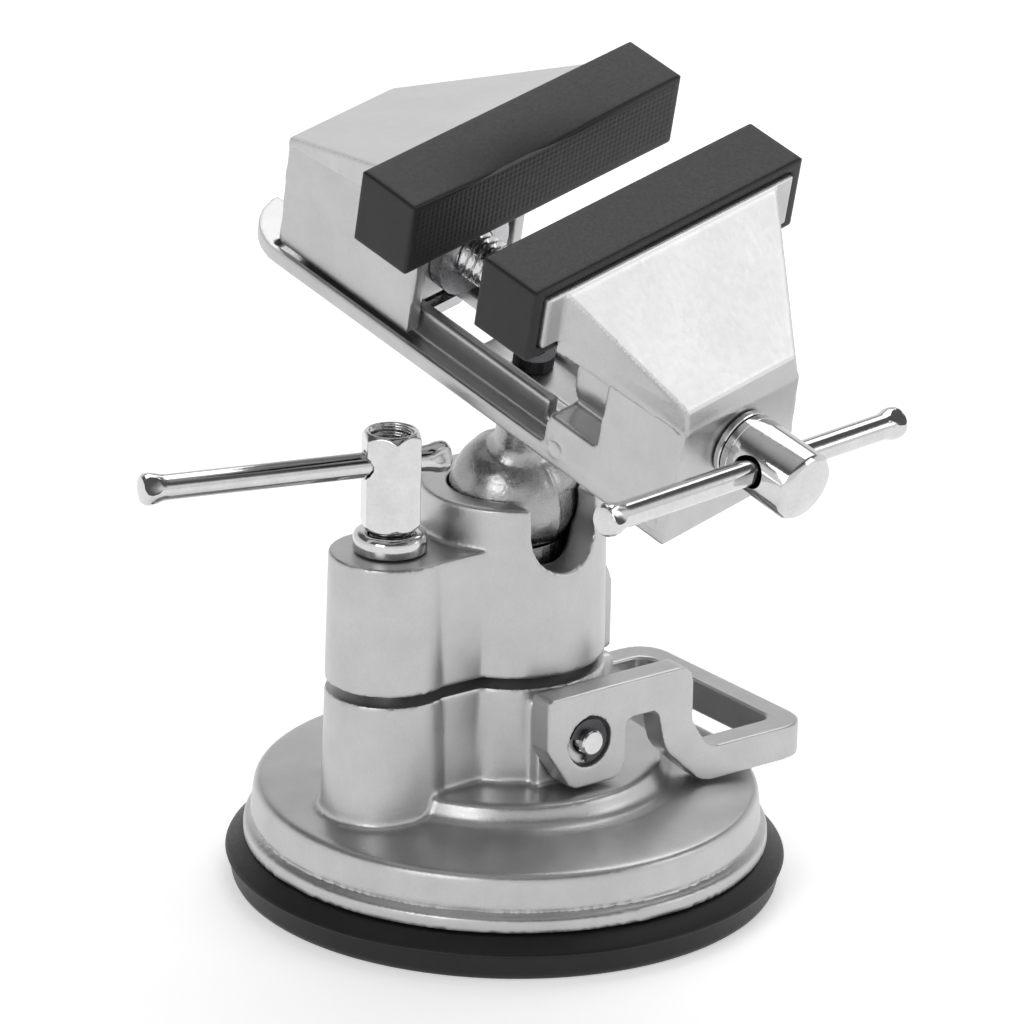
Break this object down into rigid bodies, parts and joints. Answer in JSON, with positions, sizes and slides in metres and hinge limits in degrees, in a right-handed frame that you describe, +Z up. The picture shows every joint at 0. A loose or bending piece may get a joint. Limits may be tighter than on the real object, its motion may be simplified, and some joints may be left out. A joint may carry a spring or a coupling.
{
  "type": "pcb holder vise",
  "caption": "Small ball-joint bench vise on a lever-locked rubber suction base, with rubber-capped jaws closed by a T-bar lead screw and a split clamp tightened by a long hex nut.",
  "frame": {"origin": "where the suction base's axis meets the bench", "axes": "+Z up; +X from the clamp's stud through the ball towards the suction lever's handle; +Y completes a right-handed frame"},
  "size_m": [0.1345, 0.1385, 0.168],
  "materials": {
    "cast_metal": "satin silver-grey die casting with a fine grain",
    "ball_metal": "as cast, slightly rough, with a parting line",
    "chrome": "bright plated steel",
    "steel": "plain zinc-plated steel",
    "dark_steel": "blackened spring steel",
    "black_rubber": "matte black moulded rubber"
  },
  "bodies": {
    "base": {"suction_cup": "black_rubber", "base_housing": "cast_metal", "clamp_stud": "steel"},
    "plunger": {"plunger": "steel", "lever_pin": "chrome", "lever_clip_near": "dark_steel", "lever_clip_far": "dark_steel"},
    "lever": {"suction_lever": "cast_metal"},
    "clamp": {"upper_clamp": "cast_metal", "clamp_collar": "chrome"},
    "nut": {"clamp_nut": "chrome"},
    "nut_bar": {"nut_bar": "chrome"},
    "seat": {"ball_seat": "steel"},
    "ball": {"ball_stud": "ball_metal"},
    "bed": {"vise_bed": "cast_metal", "fixed_jaw_pad": "black_rubber", "screw_washer": "chrome", "neck_screw": "dark_steel"},
    "jaw": {"moving_jaw": "cast_metal", "moving_jaw_pad": "black_rubber", "jaw_nut": "steel", "keeper_plate": "steel", "keeper_screw_1": "steel", "keeper_screw_2": "steel"},
    "screw": {"lead_screw": "chrome", "screw_retaining_ring": "steel"},
    "screw_bar": {"screw_bar": "chrome"}
  },
  "joints": [
    {"name": "lever_turn", "type": "hinge", "parent": "plunger", "child": "lever", "pos_m": [0, 0, 0.0363], "axis": [0, -1, 0], "range_deg": [0, 63]},
    {"name": "plunger_slide", "type": "slide", "parent": "base", "child": "plunger", "axis": [0, 0, 1], "range_m": [-0.00005, 0.00105]},
    {"name": "nut_turn", "type": "hinge", "parent": "base", "child": "nut", "pos_m": [-0.0293, 0, 0.0915], "axis": [0, 0, 1], "range_deg": [0, 110]},
    {"name": "clamp_open", "type": "hinge", "parent": "base", "child": "clamp", "pos_m": [0.021, 0, 0.0428], "axis": [0, 1, 0], "range_deg": [-0.05, 0.479]},
    {"name": "nut_bar_slide", "type": "slide", "parent": "nut", "child": "nut_bar", "axis": [0.9636, -0.2672, 0], "range_m": [-0.0005, 0.009]},
    {"name": "head_turn", "type": "hinge", "parent": "base", "child": "seat", "pos_m": [0, 0, 0.0799], "axis": [0, 0, 1], "range_deg": [-60, 220]},
    {"name": "head_tilt", "type": "hinge", "parent": "seat", "child": "ball", "pos_m": [0, 0, 0.0799], "axis": [0.9422, -0.3349, 0], "range_deg": [-50, 30]},
    {"name": "head_spin", "type": "hinge", "parent": "ball", "child": "bed", "pos_m": [0, 0, 0.0799], "axis": [-0.1142, -0.3214, 0.94], "range_deg": [-120, 120]},
    {"name": "jaw_slide", "type": "slide", "parent": "bed", "child": "jaw", "axis": [0.1772, -0.9376, -0.299], "range_m": [-0.025, 0.0175]},
    {"name": "screw_turn", "type": "hinge", "parent": "bed", "child": "screw", "pos_m": [0.00538, -0.07133, 0.10542], "axis": [0.1772, -0.9376, -0.299], "continuous": true},
    {"name": "screw_bar_slide", "type": "slide", "parent": "screw", "child": "screw_bar", "axis": [0.9812, 0.1918, -0.02], "range_m": [-0.025, 0.035]}
  ],
  "couplings": [
    {"joint": "plunger_slide", "follows": "lever_turn", "m_per_rad": 0.00090946},
    {"joint": "clamp_open", "follows": "nut_turn", "ratio": 0.0039},
    {"joint": "screw_turn", "follows": "jaw_slide", "rad_per_m": -3141.6}
  ]
}
